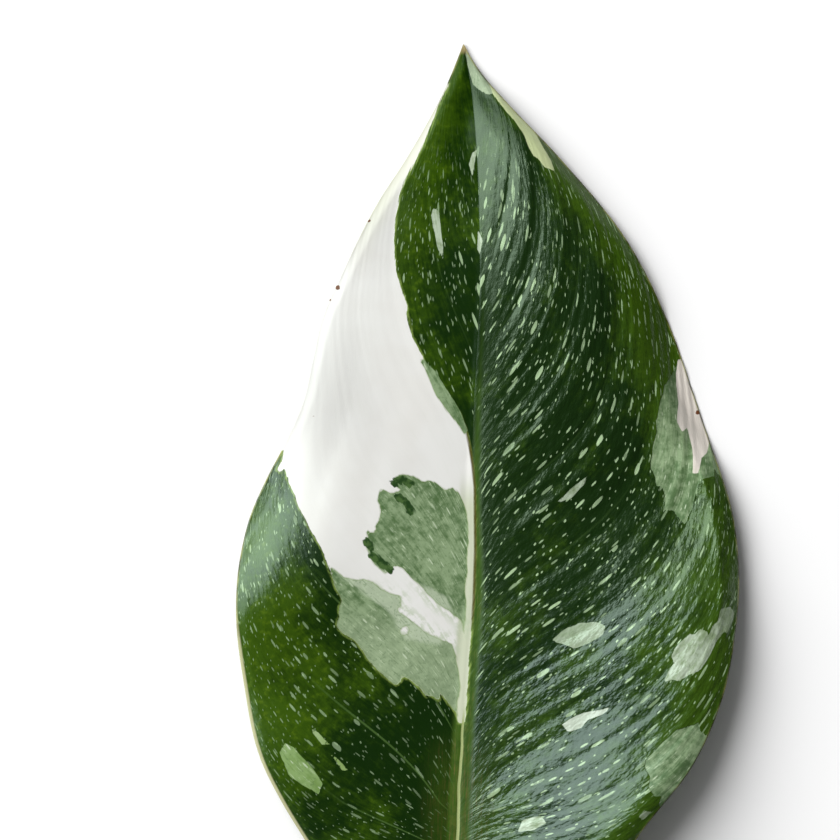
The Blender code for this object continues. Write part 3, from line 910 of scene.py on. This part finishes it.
# The under face and the stalk
UNDER_GREEN = tint(150, 172, 120)
UNDER_LINE = tint(168, 188, 136)
STALK_GREENS = tint(58, 84, 26), tint(96, 112, 50)
STALK_PALE = tint(176, 190, 132)
STALK_BROWN = tint(122, 96, 58)
CUT_TONES = tint(150, 158, 96), tint(208, 208, 160)


def blade_material(name, under):
    graph = Graph(bpy.data.materials.new(name))
    lane, out, share, across, along, edge, veins = graph.read("lane out share across along edge veins")
    white, sage, milky, pale, cream, green, brown = graph.read("white sage milky pale cream green brown")
    place = graph.node("ShaderNodeTexCoord", {}, "Object")
    place = graph.node("ShaderNodeVectorMath", {0: place, 1: (1 / MM,) * 3}, operation="MULTIPLY")

    def veined(stretch, *shape):
        """A noise whose grain runs along the side veins."""
        return graph.noise(graph.point(lane, out * stretch), *shape)

    ragged = veined(0.4, 1.3, 3, 0.62) - 0.5
    streaks = veined(0.16, 0.75, 3, 0.6)
    clouds = graph.noise(place, 9)
    mottle = graph.noise(place, 1.5, 3, 0.6)
    grain = graph.noise(place, 0.5, 1)
    left = out.fall(-0.4, 0.4)
    right = left * -1 + 1
    nearest = graph.math("FRACT", veins + 0.5, 0)
    vein = (nearest - 0.5).size() * (VEIN_PITCH / MM)

    # Green tissue, deep beside the midrib and fresher towards the edges
    tone = share.rise(0.1, 1.1) * left
    tone = tone + share.rise(0.55, 1) * right * (along.rise(30, 60) * 0.4 + 0.8)
    shade = white.rise(-10, -1) * along.rise(4, 14) * along.fall(40, 50) * 0.6
    shade = shade + along.fall(-20, 0) * share.rise(0.4, 0.9) * 0.4
    tone = tone + (along.rise(40, 60) * 0.2 - shade) * left + along.fall(10, 30) * (left * -0.25 + 0.25)
    tone = tone + (clouds - 0.5) * 1.5 + (streaks - 0.5) * 0.8 + (mottle - 0.5) * 0.9
    colour = graph.mix(tone.rise(0, 1), *GREENS)
    lime = (mottle - 0.5).rise(0, 0.25) * tone.rise(0.3, 1.1) * (left * 0.75 + 0.25)
    colour = colour.coat(lime * 0.6, LIME)
    vein_line = vein.fall(0.08, 0.34) * share.rise(0.02, 0.08) * share.fall(0.45, 0.8)
    colour = colour.coat(vein_line * (left * along.fall(20, 50) * 0.45 + 0.1), VEIN)

    # Flecks
    crowd = graph.noise(place, 14, 1).rise(0.25, 0.65)
    wavy = lane + ragged * 0.3
    reach = out * (left * 0.5 + 1)
    for sort in FLECKS:
        fleck, light = graph.flecks(wavy, reach, *sort)
        strength = fleck * (light * 0.6 + 0.45) * (crowd * 0.4 + 0.6) * along.fall(92, 112)
        strength = strength * (left * -0.3 - along.fall(-10, 10) * 0.2 + 1)
        colour = colour.coat(strength, FLECK)

    # The midrib's band and its flanks near the base, olive with brown and green fibres
    beside = across - along.rise(-25, 20) * along.fall(60, 110) * 0.7
    width = along.fall(-50, 85) * 2.6 + 0.1
    band = (beside.size() - width).fall(-0.8, 0.6) * along.fall(35, 95)
    fibres = graph.noise(graph.point(across + clouds, along * 0.06), 0.34, 4, 0.65)
    olive = graph.mix(along.fall(-30, 0), *OLIVES)
    rib = graph.mix(fibres.rise(0.35, 0.65), RIB_GREEN, olive)
    rib = rib.coat((fibres - 0.56).rise(0, 0.14) * along.fall(-25, 60) * 0.7, RIB_BROWN)
    rib = rib.coat(mottle.rise(0.45, 0.65) * 0.5, RIB_SHADE)
    flank = beside.size().fall(3, 9) * along.fall(-22, -8) * 0.5
    colour = colour.coat(band.most(flank) * 0.9, rib)

    # White tissue with a yellow-green fringe, and painted shade on it towards the left edge
    border = white + ragged * 0.9
    fringe = border.rise(-0.6, -0.1) * (ragged + grain * 0.3).rise(-0.1, 0.3)
    colour = colour.coat(fringe * 0.8, FRINGE)
    bone = graph.mix(clouds.rise(0.3, 0.7), *WHITES)
    # Painted shade: the white is darkened towards the left edge, up to about two thirds of the way to the
    # tip, where the blade tilts towards the window and would otherwise look brighter
    bone = bone.coat(share.rise(0.35, 1) * along.fall(62, 84) * 0.8, PAINTED_SHADE_WHITE)
    bone = bone.coat(share.rise(0.75, 1) * along.rise(78, 95) * 0.8, TIP_WHITE)
    bone = bone.coat(across.rise(-3, -2) * along.fall(33, 42) * 0.8, RIB_WHITE)
    bone = bone.coat((streaks - 0.5).rise(0, 0.3) * 0.06, WHITE_STREAK)
    white_area = border.rise(-0.1, 0.1)
    colour = colour.coat(white_area, bone)
    thin = sage.rise(-2.8, -0.2) * along.fall(15, 21) * along.rise(3, 7) * white_area
    colour = colour.coat(thin * (streaks + mottle - 0.9).rise(0, 0.25) * 0.7, THIN_WHITE)
    seam = (white + 0.1).size().fall(0.12, 0.42) * across.rise(-3.6, -2.6)
    colour = colour.coat(seam * along.rise(8, 14) * along.fall(45, 55) * 0.85, SEAM)

    # Grey-green tissue, where white lies thinly over green
    cloth = streaks * 0.3 + mottle * 0.35 + clouds * 0.35
    grey = graph.mix(cloth.rise(0.4, 0.6), *GREY_GREENS)
    grey = grey.coat(along.fall(8, 16) * white.rise(-2, 0) * 0.45, LIGHT_SAGE)
    grey = grey.coat(left * along.fall(-12, -8) * 0.6, YELLOW_SAGE)
    grey = grey.coat(along.rise(96, 104) * 0.8, GREY_SAGE)
    grey = grey.coat((milky + ragged * 2).rise(-0.5, 0.8) * 0.75, MILKY)
    grey = grey.coat((grain - 0.5).rise(0.08, 0.2) * 0.35, SAGE_GRAIN)
    thread = veined(0.11, 0.32)
    grey = grey.coat((thread - 0.6).rise(0, 0.06) * mottle.rise(0.4, 0.6) * 0.6, SAGE_THREAD)
    grey = grey.coat(thread.fall(0.32, 0.4) * 0.45, SAGE_GAP)
    border = sage + ragged * 0.8
    grey_area = border.rise(-0.08, 0.08)
    colour = colour.coat(grey_area, grey)
    dot, light = graph.flecks(lane, out, *SAGE_FLECKS)
    colour = colour.coat(dot * grey_area * (light * 0.5 + 0.3), SAGE_DOT)
    colour = colour.coat(border.size().fall(0.05, 0.3) * white_area * 0.35, SAGE_BORDER)

    # Pale marks, creamy margins and dark strokes
    chip = graph.mix(cloth.rise(0.4, 0.6), *MARKS)
    chip = chip.coat(along.rise(5, 7) * across.fall(27, 31) * along.fall(12, 16) * 0.4, EDGE_MARK)
    chip = chip.coat((along + 8.2).size().fall(3, 5) * across.fall(30, 34) * 0.7, WHITE_MARK)
    chip = chip.coat(left * along.fall(20, 30) * 0.7, YELLOW_MARK)
    colour = colour.coat((pale + ragged * 0.6).rise(-0.08, 0.08), chip)
    skin = graph.mix(along.rise(60, 95), *CREAMS)
    skin = skin.coat(along.fall(40, 48) * clouds.rise(0.4, 0.6), DULL_CREAM)
    colour = colour.coat((cream + ragged * 0.4).rise(-0.08, 0.08), skin)
    dark = graph.mix(mottle.rise(0.4, 0.6), *DARK_STROKES)
    blob = green + (veined(0.5, 0.7) - 0.5) * 1.8
    colour = colour.coat(blob.rise(-0.1, 0.15) * white_area, dark)

    # The pale line along the midrib, the rim, the tip and small brown spots
    line_width = along.fall(-30, 20) * 0.18 + 0.08
    wander = (graph.noise(graph.point(along, 0), 9, 1) - 0.5) * 0.8
    line = ((across + wander).size() - line_width).fall(-0.05, 0.12) * along.fall(-10, -5)
    colour = colour.coat(line, RIB_LINE)
    low_left = left * along.fall(5, 15)
    rim = graph.mix(graph.noise(place, 5).rise(0.4, 0.6), *RIMS)
    rim_width = low_left * 0.35 + 0.45
    rim_area = (edge - rim_width).fall(-0.4, 0) * (white_area * -0.7 + 0.8)
    colour = colour.coat(rim_area, rim.coat(low_left, CREAM_RIM))
    colour = colour.coat(along.rise(124, 125.4) * 0.9, DRY_TIP)
    colour = colour.coat((brown + ragged * 0.25).rise(-0.05, 0.05), BROWN)
    if under:
        colour = graph.mix(0.4, colour, UNDER_GREEN)
        colour = colour.coat(vein.fall(0.3, 0.9) * 0.5, UNDER_LINE)
    graph.set("Base Color", colour)

    # A waxy skin, finely crumpled between the veins
    pale_skin = white_area.most(grey_area)
    lobe = left * share.rise(0.5, 0.75) * along.rise(8, 25)
    rough = graph.noise(place, 2.2) * 0.1 + streaks * 0.14 + lobe * 0.09 - left * 0.05
    rough = rough + (UNDER_ROUGHNESS if under else WAX_ROUGHNESS)
    graph.set("Roughness", rough + pale_skin.most(band) * 0.2)
    crumple = graph.noise(place, 1.3, 2, 0.55)
    wrinkles = veined(0.5, 1.4, 2, 0.55)
    calm = (pale_skin * -0.5 + 1) * (white_area * -0.8 + 1) * (left * -0.7 + 1 + lobe * 0.4)
    calm = calm * (along.fall(0, 25) * 0.35 - along.rise(55, 80) * 0.3 + 1)
    calm = calm * (band * -0.6 + 1) * (share.rise(0, 0.25) * 0.4 + 0.6)
    graph.set("Normal", graph.bump(CRUMPLE_DEPTH, (crumple * 0.35 + wrinkles * 0.65) * calm))

    # Wax scatters light at a low angle, so the gloss fades where the skin is seen edge on
    glance = graph.node("ShaderNodeLayerWeight", {}, "Facing")
    margin = edge.fall(3, 8) * along.rise(45, 75) * right
    gloss = ((left - lobe).most(margin) * -0.24 + 0.5) * (left * along.rise(90, 102) * -0.7 + 1)
    gloss = gloss * (glance.rise(0.3, 0.7) * -0.85 + 1)
    graph.set("Specular IOR Level", gloss * (band * -0.6 + 1))
    graph.set("IOR", WAX_IOR)
    bloom = along.fall(5, 25).most(left * 0.7)
    graph.set("Specular Tint", graph.mix(bloom, GREEN_GLOSS, BLUE_GLOSS))
    return graph.owner


def stem_material():
    graph = Graph(bpy.data.materials.new("leaf_stalk"))
    across, rise, along = graph.read("across rise along")
    fibres = graph.noise(graph.point(across, along * 0.03, rise), 0.3, 3, 0.6)
    patches = graph.noise(graph.point(across, along * 0.1, rise), 2.2, 3, 0.6)
    colour = graph.mix(fibres.rise(0.35, 0.65), *STALK_GREENS)
    colour = colour.coat((patches - 0.54).rise(0, 0.06), STALK_PALE)
    colour = colour.coat((fibres - 0.58).rise(0, 0.1) * 0.6, STALK_BROWN)
    strands = graph.node("ShaderNodeTexVoronoi", {"Vector": graph.point(across, rise), "Scale": 2.2})
    flesh = graph.mix(strands.rise(0.2, 0.45), *CUT_TONES)
    cut = STALK_END / MM
    colour = colour.coat(along.fall(cut, cut + 0.4), flesh)
    graph.set("Base Color", colour)
    graph.set("Roughness", fibres * 0.15 + 0.36)
    graph.set("Normal", graph.bump(FIBRE_DEPTH, fibres))
    graph.set("IOR", STALK_IOR)
    return graph.owner


def make_floor():
    mesh = bpy.data.meshes.new("floor")
    corners = [(x * FLOOR_REACH, y * FLOOR_REACH, 0) for x, y in ((-1, -1), (1, -1), (1, 1), (-1, 1))]
    mesh.from_pydata(corners, [], [(0, 1, 2, 3)])
    graph = Graph(bpy.data.materials.new("floor_white"))
    cloud = graph.noise(graph.node("ShaderNodeTexCoord", {}, "Object"), FLOOR_CLOUD)
    graph.set("Base Color", graph.mix(cloud, *FLOOR_COLOURS))
    graph.set("Roughness", 0.9)
    graph.set("Specular IOR Level", 0.1)
    mesh.materials.append(graph.owner)
    floor = new_object("floor", mesh)


def make_camera():
    data = bpy.data.cameras.new("camera")
    data.lens = CAMERA_LENS
    data.sensor_width = CAMERA_LENS * PHOTO_SIDE * PX / CAMERA_HEIGHT
    camera = new_object("camera", data)
    camera.location = (*VIEW_MIDDLE, CAMERA_HEIGHT)
    bpy.context.scene.camera = camera


def make_lights():
    """A round window on one side, and a room that is bright low down on that side."""
    lamp = bpy.data.lights.new("window", "AREA")
    lamp.shape = "DISK"
    lamp.size = LAMP_SIZE
    lamp.energy = LAMP_POWER
    window = new_object("window", lamp)
    heading = Vector(LAMP_HEADING).normalized() * math.cos(LAMP_HEIGHT_ANGLE)
    target = Vector((*VIEW_MIDDLE, 0))
    window.location = (heading + Vector((0, 0, math.sin(LAMP_HEIGHT_ANGLE)))) * LAMP_DISTANCE + target
    window.rotation_euler = (target - window.location).to_track_quat("-Z", "Y").to_euler()
    world = bpy.data.worlds.new("room")
    bpy.context.scene.world = world
    room = Graph(world, "Background")
    outlook = room.node("ShaderNodeTexCoord", {}, "Generated")
    height = room.node("ShaderNodeSeparateXYZ", {0: outlook}, "Z")
    low = room.node("ShaderNodeMapRange", {0: height, 3: ROOM_LEVEL, 4: 0})
    side = room.node("ShaderNodeVectorMath", {0: outlook, 1: LAMP_HEADING}, "Value", operation="DOT_PRODUCT")
    lit = room.node("ShaderNodeMapRange", {0: side, 1: ROOM_EDGE})
    room.set("Strength", low * lit + DIM_LEVEL)
    room.set("Color", (1, 1, 1, 1))


bpy.context.scene.view_settings.view_transform = "Standard"
make_camera()
make_lights()
make_floor()
both_halves = (
    Half(-1, LEFT_EDGE, LEFT_HEIGHTS, LEFT_VEIN_SHIFT),
    Half(1, RIGHT_EDGE, RIGHT_HEIGHTS, 0),
)
make_blade(both_halves)
make_stem()
